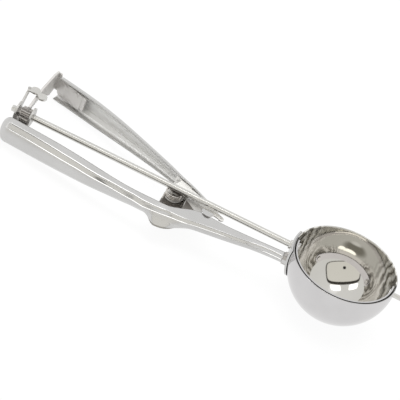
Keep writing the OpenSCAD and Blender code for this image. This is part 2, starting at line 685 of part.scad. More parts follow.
module rod_nut() {
    color(bright_steel) difference() {
        along_x(-blade_in_r + 0.35, nut_r, nut_t);
        along_x(-blade_in_r - 1, rod_r, nut_t + 3);
    }
}

bowl();
bowl_saddle();
rod_bush();
fixed_handle();
pinion_bracket();
bracket_rivets();
rack_guide();
guide_rivet();
hinge_bracket();
hinge_pin();
return_spring();
lever_handle();
lever_bracket();
lever_rivets();
rack();
rack_rivets();
wiper_rod();
pinion();
pinion_pin();
thrust_washers();
blade();
pivot_pin();
rod_nut();
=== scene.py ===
"""Looks of the squeeze-handle ice cream scoop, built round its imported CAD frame.

Lengths are in millimetres, unless a comment says metres. The origin is the centre of the bowl, +X runs along the rod
from the grip to the bowl's far side, +Y points to the lever and +Z out of the bowl's mouth. Along the handles, u is
the distance from the hinge towards the rear end, so it is negative in front of the hinge.
"""
import math

import bmesh
import bpy
import numpy as np
from mathutils import Matrix, Vector


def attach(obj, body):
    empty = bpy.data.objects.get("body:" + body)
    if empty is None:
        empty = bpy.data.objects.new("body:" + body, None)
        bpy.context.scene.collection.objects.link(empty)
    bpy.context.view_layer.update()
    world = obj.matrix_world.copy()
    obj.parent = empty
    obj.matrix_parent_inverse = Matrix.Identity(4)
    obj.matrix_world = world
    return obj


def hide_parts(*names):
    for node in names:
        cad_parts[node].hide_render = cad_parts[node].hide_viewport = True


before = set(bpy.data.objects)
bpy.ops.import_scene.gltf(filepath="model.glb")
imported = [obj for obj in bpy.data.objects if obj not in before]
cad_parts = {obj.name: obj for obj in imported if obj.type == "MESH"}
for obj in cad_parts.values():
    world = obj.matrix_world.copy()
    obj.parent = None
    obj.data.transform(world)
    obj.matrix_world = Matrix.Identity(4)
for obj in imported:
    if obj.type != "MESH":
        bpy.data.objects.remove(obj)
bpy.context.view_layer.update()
MM = 0.001

# ---------------------------------------------------------------- sizes, as in the CAD
BOWL_R, BOWL_WALL, RIM = 29.3, 0.9, 4.6
BOWL_IN = BOWL_R - BOWL_WALL
BLADE_GAP, BLADE_WALL = 0.4, 0.8
BLADE_R = BOWL_IN - BLADE_GAP
BLADE_IN = BLADE_R - BLADE_WALL
BUSH_R = 2.6
PIVOT_HOLE_R = 1.4
ROD_R = 1.75
PINION_REACH, PINION_LEN, HUB_LEN = 186.2, 5.2, 1.3
WASHER_ROOM, BRACKET_WALL, ROD_TAIL = 0.45, 1.0, 2.9
ROD_REAR = -PINION_REACH - PINION_LEN / 2 - HUB_LEN - WASHER_ROOM - BRACKET_WALL - ROD_TAIL
ROD_FRONT = -BLADE_IN + 1.9
MID_Z = -5.4
SHEET = 0.9
HINGE = (-97.5, 2.2)
HINGE_H, GRIP_H, NECK_H, NOSE_H = 4.6, 7.8, 3.4, 2.6
HINGE_D, GRIP_D, NECK_D, NOSE_D = 6.0, 7.5, 3.8, 2.8
GRIP_LEN, LEVER_LEN, NOSE_LEN = 97.0, 93.21, 19.0
FULL_U = 75
GRIP_WAIST, NECK_SWELL = 1.0, 1.6
LEVER_ANGLE = math.radians(20)
LEVER_EDGE, LEVER_BOW, NOSE_BOW = 10.1, 4.65, 1.94
BOW_U = 0.268 * LEVER_LEN
LEVER_LESS_H, LEVER_LESS_D, LEVER_LESS_REAR = 0.6, 1.6, 0.3
LEVER_WAIST_U, LEVER_WAIST_H, LEVER_WAIST_D = 18, 0.2, 0.9
GUARD, GUARD_REAR, GUARD_FRONT = 5.3, 10.1, -17.9
SADDLE_FLAT, SADDLE_SEAT_GAP, SADDLE_WALL = 5, 0.05, 1.0
FOOT_X = SADDLE_FLAT - SADDLE_SEAT_GAP - (BOWL_R + SADDLE_FLAT + SADDLE_WALL) - 0.6
NECK_LEN = FOOT_X - HINGE[0]
PLATES_LOW = -8.75

# Wall's line and open edge of the fixed handle: share of the neck's length (below 0) or of the grip's, and Y
FIXED_LINE = [(-1, -4.9), (-0.66, -5.4), (-0.32, -8.9), (0.05, -14.4), (0.26, -15.4), (0.62, -12.7),
              (1, -10)]
FIXED_EDGE = [(-1, -4.9), (-0.62, -7.0), (-0.48, -7.6), (-0.27, -7.4), (-0.188, -9.2), (-0.12, -11.8),
              (-0.036, -14.4), (0.05, -15.1), (0.26, -15.6), (0.62, -12.7), (1, -10)]


def smooth(t):
    c = min(1.0, max(0.0, t))
    return c * c * (3 - 2 * c)


def mix(a, b, t):
    return a + (b - a) * t


def curve(p, x):
    """Smooth curve through the points p, which are in rising order of place."""
    n = len(p)

    def slope(i):
        a, b = max(0, i - 1), min(n - 1, i + 1)
        return (p[b][1] - p[a][1]) / (p[b][0] - p[a][0])

    i = 0
    while i < n - 2 and x >= p[i + 1][0]:
        i += 1
    w = p[i + 1][0] - p[i][0]
    t = (x - p[i][0]) / w
    t2, t3 = t * t, t * t * t
    return ((2 * t3 - 3 * t2 + 1) * p[i][1] + (t3 - 2 * t2 + t) * w * slope(i)
            + (3 * t2 - 2 * t3) * p[i + 1][1] + (t3 - t2) * w * slope(i + 1))


def fixed_share(u):
    return u / NECK_LEN if u < 0 else u / GRIP_LEN


def fixed_y(u):
    return curve(FIXED_EDGE, fixed_share(u))


def flange(u):
    """How far the open edge stands past the line of the pressed section."""
    return fixed_y(u) - curve(FIXED_LINE, fixed_share(u))


def fixed_h(u):
    return mix(HINGE_H, GRIP_H, smooth(u / FULL_U)) if u > 0 else mix(HINGE_H, NECK_H, smooth(-u / NECK_LEN))


def fixed_d(u):
    """Depth of the fixed handle: a waist behind the hinge and a swell in front of it."""
    if u > 0:
        return mix(HINGE_D, GRIP_D, smooth(u / FULL_U)) - GRIP_WAIST * smooth((u - 10) / 8) * smooth((46 - u) / 20)
    return mix(HINGE_D, NECK_D, smooth((-u - 30) / 35)) + NECK_SWELL * smooth(-u / 14) * smooth((62 + u) / 24)


def guard(u):
    """Share of the finger guard's full height: steep at its rear and easy at its front."""
    return smooth((GUARD_REAR - u) / 9.3) * smooth((u - GUARD_FRONT) / 16)


def lever_v(u):
    """Open edge of the lever in its own frame, away from the rod."""
    if u > BOW_U:
        return LEVER_EDGE - LEVER_BOW * ((u - BOW_U) / (LEVER_LEN - BOW_U)) ** 2
    return LEVER_EDGE - NOSE_BOW * ((BOW_U - u) / (BOW_U + NOSE_LEN)) ** 2


def lever_size(u, at_hinge, at_rear, at_nose, waist):
    """Half height or depth of the lever, which has a waist at the hinge."""
    size = mix(at_hinge, at_rear, smooth(u / FULL_U)) if u > 0 else mix(at_hinge, at_nose, smooth(-u / NOSE_LEN))
    return size - waist * (1 - smooth(u / LEVER_WAIST_U if u > 0 else -u / NOSE_LEN))


def lever_h(u):
    return lever_size(u, HINGE_H - LEVER_LESS_H, GRIP_H, NOSE_H, LEVER_WAIST_H)


def lever_d(u):
    return lever_size(u, HINGE_D - LEVER_LESS_D, GRIP_D - LEVER_LESS_REAR, NOSE_D, LEVER_WAIST_D)


# ---------------------------------------------------------------- mesh helpers
def add_object(name, data):
    ob = bpy.data.objects.new(name, data)
    bpy.context.scene.collection.objects.link(ob)
    return ob


def new_mesh(name, verts, faces):
    me = bpy.data.meshes.new(name)
    me.from_pydata([tuple(c * MM for c in v) for v in verts], [], faces)
    me.validate()
    me.update()
    return add_object(name, me)


def recalc(ob, merge=False):
    """Turns the faces outward, after merging the points that lie on a turned shape's axis."""
    bm = bmesh.new()
    bm.from_mesh(ob.data)
    if merge:
        bmesh.ops.remove_doubles(bm, verts=bm.verts, dist=1e-7)
        bmesh.ops.dissolve_degenerate(bm, edges=bm.edges, dist=1e-8)
    bmesh.ops.recalc_face_normals(bm, faces=bm.faces)
    bm.to_mesh(ob.data)
    bm.free()


def shade(ob, angle):
    """Smooth faces, with a crease where they meet at more than the angle in degrees."""
    for p in ob.data.polygons:
        p.use_smooth = True
    ob.data.set_sharp_from_angle(angle=math.radians(angle))


def apply_modifiers(ob):
    deps = bpy.context.evaluated_depsgraph_get()
    me = bpy.data.meshes.new_from_object(ob.evaluated_get(deps))
    old = ob.data
    ob.modifiers.clear()
    ob.data = me
    me.name = ob.name
    bpy.data.meshes.remove(old)


def break_edges(ob, width, angle, crease=40):
    """Rounds the edges that are sharper than the angle."""
    mod = ob.modifiers.new("break", "BEVEL")
    mod.width = width * MM
    mod.segments = 2
    mod.limit_method = "ANGLE"
    mod.angle_limit = math.radians(angle)
    apply_modifiers(ob)
    shade(ob, crease)


def grid_faces(rows, cols, closed_rows=False):
    """Quads of a grid whose columns close into a ring, and its rows too where asked."""
    faces = []
    for i in range(rows if closed_rows else rows - 1):
        a, b = i * cols, (i + 1) % rows * cols
        for j in range(cols):
            k = (j + 1) % cols
            faces.append((a + j, a + k, b + k, b + j))
    return faces


def revolve(name, profile, axis, steps):
    """Closed profile of (r, h) points turned round the x or z axis."""
    verts = []
    for k in range(steps):
        a = 2 * math.pi * k / steps
        for r, h in profile:
            p, q = r * math.cos(a), r * math.sin(a)
            verts.append((p, q, h) if axis == "z" else (h, p, q))
    ob = new_mesh(name, verts, grid_faces(steps, len(profile), True))
    recalc(ob, True)
    shade(ob, 35)
    return ob


def rounded(profile, r, seg):
    """Rounds the corners of a closed polygon of (r, h) points, apart from those on its axis."""
    out = []
    n = len(profile)
    for i in range(n):
        p0, p1, p2 = (np.array(profile[(i + k) % n], float) for k in (-1, 0, 1))
        if profile[i][0] < 1e-9:
            out.append(tuple(p1))
            continue
        a, b = p0 - p1, p2 - p1
        la, lb = np.linalg.norm(a), np.linalg.norm(b)
        a, b = a / la, b / lb
        half = math.acos(float(np.clip(a @ b, -1, 1))) / 2
        cut = min(r / math.tan(half), 0.45 * la, 0.45 * lb)
        for k in range(seg + 1):
            t = k / seg
            out.append(tuple((1 - t) ** 2 * (p1 + a * cut) + 2 * t * (1 - t) * p1 + t * t * (p1 + b * cut)))
    return out


def cad_copy(name, node, width, angle=32):
    """A copy of a CAD node with its edges broken, standing for the node."""
    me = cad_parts[node].data.copy()
    me.name = name
    ob = add_object(name, me)
    me.materials.clear()
    for attr in list(me.attributes):
        if attr.name == "custom_normal":
            me.attributes.remove(attr)
    bm = bmesh.new()
    bm.from_mesh(me)
    bmesh.ops.remove_doubles(bm, verts=bm.verts, dist=2e-6)
    bmesh.ops.dissolve_limit(bm, angle_limit=math.radians(0.6), verts=bm.verts, edges=bm.edges)
    bm.to_mesh(me)
    bm.free()
    break_edges(ob, width, angle)
    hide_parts(node)
    return ob


def prism(name, outline, heights, soft):
    """Plate between two heights, with its edges broken where soft isn't 0."""
    n = len(outline)
    verts = [(x, y, z) for z in heights for x, y in outline]
    faces = [tuple(range(n))[::-1], tuple(range(n, 2 * n))]
    faces += [(k, (k + 1) % n, n + (k + 1) % n, n + k) for k in range(n)]
    ob = new_mesh(name, verts, faces)
    recalc(ob)
    if soft:
        break_edges(ob, soft, 30)
    return ob


def boolean_cut(ob, cutter):
    mod = ob.modifiers.new("cut", "BOOLEAN")
    mod.operation = "DIFFERENCE"
    mod.solver = "EXACT"
    mod.object = cutter
    bpy.context.view_layer.update()
    apply_modifiers(ob)
    bpy.data.objects.remove(cutter)


def tube_along(name, path, r, sides):
    """Round wire along a path of points, with domed ends."""
    P = np.array(path, float)
    n = len(P)
    T = np.gradient(P, axis=0)
    T /= np.linalg.norm(T, axis=1)[:, None]
    N = [np.cross(T[0], (0, 0, 1.0))]
    N[0] = N[0] / np.linalg.norm(N[0])
    for i in range(1, n):
        v = N[-1] - T[i] * (N[-1] @ T[i])
        N.append(v / np.linalg.norm(v))
    N = np.array(N)
    B = np.cross(T, N)
    dome = [(math.cos(b), math.sin(b)) for b in map(math.radians, (78, 55, 30))]
    rows = [(P[0] - T[0] * r * s + T[0] * r, N[0], B[0], r * c) for c, s in dome]
    rows.append((P[0] + T[0] * r, N[0], B[0], r))
    rows += [(P[i], N[i], B[i], r) for i in range(1, n - 1)]
    rows.append((P[-1] - T[-1] * r, N[-1], B[-1], r))
    rows += [(P[-1] + T[-1] * r * s - T[-1] * r, N[-1], B[-1], r * c) for c, s in dome[::-1]]
    verts = []
    for centre, normal, binormal, radius in rows:
        for k in range(sides):
            a = 2 * math.pi * k / sides
            verts.append(tuple(centre + radius * (math.cos(a) * normal + math.sin(a) * binormal)))
    faces = grid_faces(len(rows), sides)
    faces.append(tuple(range(sides))[::-1])
    faces.append(tuple((len(rows) - 1) * sides + k for k in range(sides)))
    ob = new_mesh(name, verts, faces)
    recalc(ob)
    shade(ob, 60)
    return ob


# ---------------------------------------------------------------- node helpers
def socket(nt, inp, value):
    """Sets an input to a number, a colour or a vector, or links another node's output to it."""
    if isinstance(value, bpy.types.NodeSocket):
        nt.links.new(value, inp)
    elif value is not None:
        inp.default_value = value


def math_node(nt, op, a, b=None):
    node = nt.nodes.new("ShaderNodeMath")
    node.operation = op
    socket(nt, node.inputs[0], a)
    socket(nt, node.inputs[1], b)
    return node.outputs[0]


def times(nt, a, b):
    return math_node(nt, "MULTIPLY", a, b)


def map_range(nt, value, lo=0.0, hi=1.0, to_lo=0.0, to_hi=1.0):
    node = nt.nodes.new("ShaderNodeMapRange")
    node.inputs["From Min"].default_value = lo
    node.inputs["From Max"].default_value = hi
    node.inputs["To Min"].default_value = to_lo
    node.inputs["To Max"].default_value = to_hi
    nt.links.new(value, node.inputs["Value"])
    return node.outputs[0]


def step(nt, value, lo, hi):
    """Smooth step from 0 at lo to 1 at hi."""
    out = map_range(nt, value, lo, hi)
    out.node.interpolation_type = "SMOOTHSTEP"
    return out


def ramp(nt, fac, stops):
    node = nt.nodes.new("ShaderNodeValToRGB")
    el = node.color_ramp.elements
    while len(el) < len(stops):
        el.new(0.5)
    for e, (pos, col) in zip(el, stops):
        e.position = pos
        e.color = (*col, 1)
    nt.links.new(fac, node.inputs[0])
    return node.outputs[0]


def mix_color(nt, fac, a, b):
    """Colour a where fac is 0 and b where it is 1."""
    node = nt.nodes.new("ShaderNodeMix")
    node.data_type = "RGBA"
    nt.links.new(fac, node.inputs[0])
    socket(nt, node.inputs[6], a)
    socket(nt, node.inputs[7], b)
    return node.outputs[2]


def noise(nt, scale, detail, rough=0.55, stretch=(1, 1, 1)):
    """Noise in the piece's own coordinates, in metres."""
    coord = nt.nodes.new("ShaderNodeTexCoord")
    mapping = nt.nodes.new("ShaderNodeMapping")
    mapping.inputs["Scale"].default_value = stretch
    tex = nt.nodes.new("ShaderNodeTexNoise")
    tex.inputs["Scale"].default_value = scale
    tex.inputs["Detail"].default_value = detail
    tex.inputs["Roughness"].default_value = rough
    nt.links.new(coord.outputs["Object"], mapping.inputs[0])
    nt.links.new(mapping.outputs[0], tex.inputs["Vector"])
    return tex.outputs["Fac"]


def fine_noise(nt):
    return noise(nt, 420, 4, 0.6)


def slow_noise(nt):
    return noise(nt, 55, 2)


# ---------------------------------------------------------------- materials
def new_material(name):
    mat = bpy.data.materials.new(name)
    mat.use_nodes = True
    nt = mat.node_tree
    nt.nodes.clear()
    return mat, nt, nt.nodes.new("ShaderNodeOutputMaterial")


def new_metal(name):
    mat, nt, out = new_material(name)
    bsdf = nt.nodes.new("ShaderNodeBsdfPrincipled")
    nt.links.new(bsdf.outputs[0], out.inputs[0])
    return mat, nt, bsdf


def steel(name, base, rough, vary, brush=None, brush_amount=0.0, mottled=0.04, metal=1.0):
    """Metal with slow tone changes, rough patches and fine polishing lines, which run where brush is small."""
    mat, nt, bsdf = new_metal(name)
    bsdf.inputs["Metallic"].default_value = metal
    dark = tuple(c * (1 - mottled) for c in base)
    light = tuple(min(1, c * (1 + mottled * 0.6)) for c in base)
    nt.links.new(ramp(nt, slow_noise(nt), [(0.3, dark), (0.7, light)]), bsdf.inputs["Base Color"])
    both = math_node(nt, "ADD", times(nt, fine_noise(nt), 0.5), times(nt, noise(nt, 90, 2), 0.5))
    nt.links.new(map_range(nt, both, 0.3, 0.7, max(0.02, rough - vary), rough + vary), bsdf.inputs["Roughness"])
    if brush:
        bump = nt.nodes.new("ShaderNodeBump")
        bump.inputs["Strength"].default_value = brush_amount
        bump.inputs["Distance"].default_value = 0.00004
        nt.links.new(noise(nt, 900, 3, 0.6, brush), bump.inputs["Height"])
        nt.links.new(bump.outputs[0], bsdf.inputs["Normal"])
    return mat


def bowl_inside():
    """Mirror finish inside the bowl, warmer than outside, with painted reflections under the rim at the two ends:
    wavy dark and light bands in the base colour.
    """
    mat, nt, bsdf = new_metal("bowl_inside_steel")
    coord = nt.nodes.new("ShaderNodeTexCoord")
    sep = nt.nodes.new("ShaderNodeSeparateXYZ")
    nt.links.new(coord.outputs["Object"], sep.inputs[0])
    wave = nt.nodes.new("ShaderNodeTexWave")
    wave.inputs["Scale"].default_value = 105
    wave.inputs["Distortion"].default_value = 7
    wave.inputs["Detail"].default_value = 2
    wave.inputs["Detail Scale"].default_value = 1.3
    nt.links.new(coord.outputs["Object"], wave.inputs["Vector"])
    painted_reflection_bands = ramp(nt, wave.outputs["Fac"], [(0.0, (0.13, 0.12, 0.10)), (0.3, (0.38, 0.36, 0.31)),
                                             (0.7, (0.62, 0.60, 0.55)), (1.0, (0.74, 0.73, 0.69))])
    plain = ramp(nt, slow_noise(nt), [(0.3, (0.645, 0.63, 0.585)), (0.7, (0.67, 0.655, 0.615))])
    # metres from the bowl's centre: the reflections are painted near the two ends, and high under the rim
    ends = step(nt, math_node(nt, "ABSOLUTE", math_node(nt, "ADD", sep.outputs["X"], 0.001)), 0.014, 0.023)
    mask = times(nt, ends, step(nt, sep.outputs["Z"], -0.017, -0.006))
    # the painted reflection bands take the place of the plain tone there, and make the steel less metallic
    nt.links.new(mix_color(nt, mask, plain, painted_reflection_bands), bsdf.inputs["Base Color"])
    nt.links.new(math_node(nt, "SUBTRACT", 1.0, times(nt, mask, 0.62)), bsdf.inputs["Metallic"])
    nt.links.new(map_range(nt, fine_noise(nt), to_lo=0.035, to_hi=0.07), bsdf.inputs["Roughness"])
    return mat


# How polishing lines are drawn out: lengthwise along the handles, or along one of the other axes
LENGTHWISE = (0.04, 1, 1)
UPWARD = (1, 1, 0.1)

POLISHED = steel("polished_steel", (0.66, 0.655, 0.645), 0.14, 0.035, LENGTHWISE, 0.10)
BOWL_MAT = steel("bowl_steel", (0.675, 0.665, 0.665), 0.05, 0.03, (1, 1, 0.05), 0.05)
BOWL_INSIDE = bowl_inside()
ROD_MAT = steel("rod_steel", (0.72, 0.71, 0.68), 0.20, 0.02)
WALL_MAT = steel("pressed_wall_steel", (0.665, 0.66, 0.65), 0.32, 0.05, LENGTHWISE, 0.10)
GRIP_MAT = steel("grip_steel", (0.66, 0.655, 0.645), 0.14, 0.035, LENGTHWISE, 0.06)
INSIDE_MAT = steel("channel_inside_steel", (0.72, 0.717, 0.70), 0.42, 0.05, LENGTHWISE, 0.03, metal=0.5)
# darker painted shade along the lips of the lever
LIP_SHADE_MAT = steel("channel_lip_painted_shade", (0.50, 0.495, 0.48), 0.36, 0.05, LENGTHWISE, 0.04, metal=0.6)
# near-white painted highlight, a bright line along the inside of the lever
PAINTED_HIGHLIGHT_MAT = steel("channel_painted_highlight", (0.98, 0.98, 0.97), 0.45, 0.05, LENGTHWISE, 0.02, metal=0.1)
# dark painted shade inside the channel of the grip
GRIP_INSIDE_SHADE_MAT = steel("grip_inside_painted_shade", (0.34, 0.33, 0.31), 0.40, 0.05, LENGTHWISE, 0.10, metal=0.8)
RACK_MAT = steel("rack_steel", (0.60, 0.585, 0.565), 0.40, 0.05, UPWARD, 0.05, metal=0.5)
# base painted lighter than the steel, painted light against the shade of the lever channel above
PAINTED_LIGHT_PLATE_MAT = steel("nose_painted_light", (0.80, 0.79, 0.76), 0.36, 0.05, (0.1, 1, 1), 0.04, metal=0.5)
# dark, mottled painted shade for the hinge bracket under the handles
HINGE_SHADE_MAT = steel("hinge_painted_shade", (0.30, 0.28, 0.255), 0.38, 0.06, (1, 0.1, 1), 0.12, mottled=0.45)
# near-black painted shade for the gaps between the bowl, the blade and the saddle
PAINTED_SHADE_MAT = steel("painted_shade_steel", (0.03, 0.029, 0.027), 0.5, 0.05, metal=0.2)
SATIN = steel("satin_steel", (0.56, 0.55, 0.53), 0.33, 0.06, (1, 0.05, 1), 0.25, metal=0.75)
GEAR_MAT = steel("gear_steel", (0.50, 0.48, 0.46), 0.27, 0.06, (0.05, 1, 1), 0.25)
SPRING_MAT = steel("spring_steel", (0.72, 0.69, 0.65), 0.16, 0.05, UPWARD, 0.05)
RIVET_MAT = steel("rivet_steel", (0.58, 0.57, 0.55), 0.24, 0.05)


def finish_piece(ob, body, mat):
    """Gives a piece its one material, or those that its faces' material_index picks, and its body."""
    faces = [poly.material_index for poly in ob.data.polygons]
    ob.data.materials.clear()
    for m in mat if isinstance(mat, tuple) else (mat,):
        ob.data.materials.append(m)
    if isinstance(mat, tuple):
        ob.data.polygons.foreach_set("material_index", faces)
    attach(ob, body)
    return ob


# ---------------------------------------------------------------- half-round pressed handles
# Angles round the section, in degrees from the open edge, at which the two pressed ridges run along the fixed
# handle: (u, angle). The lever has one angle for each all along.
UPPER = [(-67, 56), (-55, 55), (-45, 51), (-35, 46), (-15, 48), (0, 50), (10, 44), (30, 39), (60, 35), (80, 28),
         (98, 26)]
LOWER = [(-67, 84), (-55, 83), (-45, 75), (-35, 69), (-20, 72), (0, 79), (10, 79), (20, 73), (30, 67), (50, 62),
         (60, 62), (80, 57), (98, 56)]
LEVER_RIDGES = (26, 57)
FLANGE_DROP = 0.05
FLANGE_SLOPE = 0.42
BAND_FOOT = (0.43, -0.25)
UPPER_ROUND, BAND_ROUND, LOWER_ROUND = 0.9, 0.16, 0.06
WALL_POINTS = 16
# the guard is full at this share of the half height below the middle, and fades to the lower edge over these degrees
GUARD_FULL, GUARD_FADE, GUARD_FADE_LEN = 0.95, 163, 12
LIP_STEPS = 5
END_STEPS = 4
# the channel's materials by index, and the columns and rows of its skin that take them; on the lever the lip columns
# take painted shade and the gleam columns a painted highlight
OUTER, WALL, INSIDE, LIP, GLEAM = range(5)
LIP_COLS, GLEAM_COLS, WALL_COLS, DOME_ROWS = 3, (7, 13), 27, 14


def fillet(p0, p1, p2, cut, n):
    a = p1 + (p0 - p1) / np.linalg.norm(p0 - p1) * min(cut, 0.45 * np.linalg.norm(p0 - p1))
    b = p1 + (p2 - p1) / np.linalg.norm(p2 - p1) * min(cut, 0.45 * np.linalg.norm(p2 - p1))
    return [(1 - t) ** 2 * a + 2 * t * (1 - t) * p1 + t * t * b for t in np.linspace(0, 1, n)]


def section(h, d, past, upper, lower):
    """The section from the upper open edge round to the lower one, as (depth, height). Each half has a flat flange,
    a rounded upper ridge, a dished band, a fine lower ridge and the round of the wall."""
    def at(deg):
        return np.array([d * math.sin(math.radians(deg)), h * math.cos(math.radians(deg))])
    edge = np.array([-past, h - FLANGE_DROP])
    p1, p2 = at(upper), at(lower)
    p1[1] = max(p1[1], edge[1] - (p1[0] - edge[0]) * FLANGE_SLOPE)
    before = p2 - np.array(BAND_FOOT)
    wall = [at(a) for a in np.linspace(lower + 3, 90, WALL_POINTS)]
    pts = [edge, mix(edge, p1, 0.06), mix(edge, p1, 0.35)]
    pts += fillet(edge, p1, before, UPPER_ROUND, 12)
    pts += [mix(p1, before, 0.5), mix(p1, before, 0.7)]
    pts += fillet(p1, before, p2, BAND_ROUND, 5)
    pts += [mix(before, p2, 0.5), mix(before, p2, 0.75)]
    pts += fillet(before, p2, wall[0], LOWER_ROUND, 5)
    half = np.array(pts + wall)
    return np.concatenate([half, half[-2::-1] * (1, -1)])


def raise_guard(pts, h, d, share, lower):
    """Finger guard: the wall below the lower ridge slopes outward and stands out at the bottom."""
    z0, z1 = h * math.cos(math.radians(lower)), -GUARD_FULL * h
    for p in pts:
        ang = math.degrees(math.atan2(p[0] / d, p[1] / h))
        if ang > lower:
            face = d * math.sin(math.radians(lower)) + GUARD * min(1, (z0 - p[1]) / (z0 - z1))
            p[0] = mix(p[0], max(p[0], face), share * (1 - smooth((ang - GUARD_FADE) / GUARD_FADE_LEN)))


def lip_round(start, end, inner_start):
    """Rounded edge of the sheet, from one wall to the other."""
    rows = []
    for k in range(1, LIP_STEPS):
        b = math.pi * k / LIP_STEPS
        m = (start + end) / 2 + (start - end) / 2 * math.cos(b) + np.array([SHEET * 0.5 * math.sin(b), 0])
        rows.append((*m, 0.5 + (0.5 if inner_start else -0.5) * math.cos(b)))
    return rows


def section_loop(h, d, past, share, upper, lower, scale):
    """Closed loop: outer wall from top to bottom, bottom lip, inner wall back, top lip.
    Gives rows of (y, z, inner) with inner 0 on the outer wall and 1 on the inner one, and the points on a wall."""
    outer = section(h, d, past, upper, lower)
    if share > 0:
        raise_guard(outer, h, d, share, lower)
    outer, inner = [[np.array([-q[0], q[1]]) for q in wall]
                    for wall in (outer, section(h - SHEET, d - SHEET, past, upper, lower))]
    for wall in (outer, inner):
        for k in (0, -1):
            wall[k] = wall[k] + np.array([-SHEET * 0.5, 0.0])
    pts = [(*p, 0.0) for p in outer]
    pts += lip_round(outer[-1], inner[-1], False)
    pts += [(*p, 1.0) for p in reversed(inner)]
    pts += lip_round(inner[0], outer[0], True)
    return [((p[0] + past) * scale - past, p[1] * scale, p[2]) for p in pts], len(outer)


def channel(name, stations, tip, side):
    """Skin of a pressed channel, open at its first station and closed at its tip. stations: (x, y, half height,
    depth, flange past the pressed line, share of the guard, upper and lower ridge angle, dome angle)."""
    verts = []
    toward = 1 if tip[0] > stations[-1][0] else -1
    for x, y, h, d, past, share, upper, lower, dome in stations:
        loop, count = section_loop(h, d, past, share, upper, lower, math.cos(math.radians(dome)))
        back = SHEET * math.sin(math.radians(dome))
        verts += [(x - toward * back * p[2], y + side * p[0], MID_Z + p[1]) for p in loop]
    rows, cols = len(stations), len(loop)
    inner_from, inner_to = count + LIP_STEPS - 1, 2 * count + LIP_STEPS - 2
    faces = grid_faces(rows, cols)
    # rounded cut end: outer wall to inner wall in steps
    first = [np.array(v) for v in verts[:cols]]
    after = [np.array(v) for v in verts[cols:2 * cols]]
    strips = [list(range(count))]
    for m in range(1, END_STEPS):
        b = math.pi * m / END_STEPS
        strips.append(list(range(len(verts), len(verts) + count)))
        for k in range(count):
            o, i = first[k], first[inner_to - k]
            e = o - after[k]
            e = e / np.linalg.norm(e)
            verts.append(tuple((o + i) / 2 + (o - i) / 2 * math.cos(b) + e * SHEET * 0.3 * math.sin(b)))
    strips.append([inner_to - k for k in range(count)])
    for a, b in zip(strips, strips[1:]):
        faces += [(a[k], a[k + 1], b[k + 1], b[k]) for k in range(count - 1)]
    faces.append(tuple([s[-1] for s in strips[::-1]] + [count - 1 + k for k in range(1, LIP_STEPS)]))
    faces.append(tuple([s[0] for s in strips] + [inner_to + 1 + k for k in range(LIP_STEPS - 1)]))
    # closed end: each wall runs to its own point at the tip
    base = (rows - 1) * cols
    tip_out, tip_in = len(verts), len(verts) + 1
    verts += [(tip[0], tip[1], MID_Z), (tip[0] - toward * SHEET, tip[1], MID_Z)]
    for start, end in ((base, tip_out), (base + inner_from, tip_in)):
        faces += [(start + k, start + k + 1, end) for k in range(count - 1)]
    faces.append(tuple([base + count - 1 + k for k in range(LIP_STEPS + 1)] + [tip_in, tip_out]))
    faces.append(tuple([base + inner_to + k for k in range(LIP_STEPS)] + [base, tip_out, tip_in]))
    ob = new_mesh(name, verts, faces)
    for k, poly in enumerate(ob.data.polygons):
        if k >= (rows - 1) * cols:
            break
        row, j = divmod(k, cols)
        if inner_from <= j < inner_to:
            near = j - inner_from
            gleam = GLEAM_COLS[0] <= near < GLEAM_COLS[1]
            poly.material_index = LIP if near < LIP_COLS else GLEAM if gleam else INSIDE
        elif count - 1 - LIP_COLS <= j < inner_from:
            poly.material_index = LIP
        elif WALL_COLS <= j < count - 1 - WALL_COLS or row > rows - DOME_ROWS and j < count - 1:
            poly.material_index = WALL
        else:
            poly.material_index = OUTER
    recalc(ob)
    shade(ob, 50)
    return ob


def dome_steps():
    """Angles at which the closed, domed end of a handle is cut into stations."""
    return range(8, 89, 8)


def fixed_stations():
    dome_len, straight = 4.8, 150
    rows = [(mix(-NECK_LEN, GRIP_LEN - dome_len, k / (straight - 1)), 0) for k in range(straight)]
    rows += [(GRIP_LEN - dome_len * (1 - math.sin(math.radians(a))), a) for a in dome_steps()]
    out = []
    for u, dome in rows:
        past = flange(u)
        out.append((HINGE[0] - u, fixed_y(u) - past, fixed_h(u), fixed_d(u), past, guard(u),
                    float(np.interp(u, *zip(*UPPER))), float(np.interp(u, *zip(*LOWER))), dome))
    return out


def lever_stations():
    dome_len, straight = 5, 110
    rows = [(mix(LEVER_LEN - 0.3, dome_len - NOSE_LEN, k / (straight - 1)), 0) for k in range(straight)]
    rows += [(-NOSE_LEN + dome_len * (1 - math.sin(math.radians(a))), a) for a in dome_steps()]
    return [(-u, lever_v(u), lever_h(u), lever_d(u), 0, 0, *LEVER_RIDGES, dome) for u, dome in rows]


def to_lever(ob):
    """Turns a piece built in the lever's own frame to where the lever rests."""
    ob.data.transform(Matrix.Translation((HINGE[0] * MM, HINGE[1] * MM, 0)) @ Matrix.Rotation(-LEVER_ANGLE, 4, "Z"))
    return ob


grip = channel("fixed_handle_shell", fixed_stations(), (HINGE[0] - GRIP_LEN, fixed_y(GRIP_LEN)), 1)
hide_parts("fixed_handle")
# the grip's inside, lips and gleam band all take the painted shade
finish_piece(grip, "frame", (GRIP_MAT, WALL_MAT, GRIP_INSIDE_SHADE_MAT, GRIP_INSIDE_SHADE_MAT, GRIP_INSIDE_SHADE_MAT))

lever = to_lever(channel("lever_handle_shell", lever_stations(), (NOSE_LEN, lever_v(-NOSE_LEN)), -1))
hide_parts("lever_handle")
finish_piece(lever, "lever", (POLISHED, WALL_MAT, INSIDE_MAT, LIP_SHADE_MAT, PAINTED_HIGHLIGHT_MAT))


# ---------------------------------------------------------------- bowl
def arc(r, a0, a1, n, cx=0.0, cz=0.0):
    angles = [mix(a0, a1, k / (n - 1)) for k in range(n)]
    return [(cx + r * math.cos(a), cz + r * math.sin(a)) for a in angles]


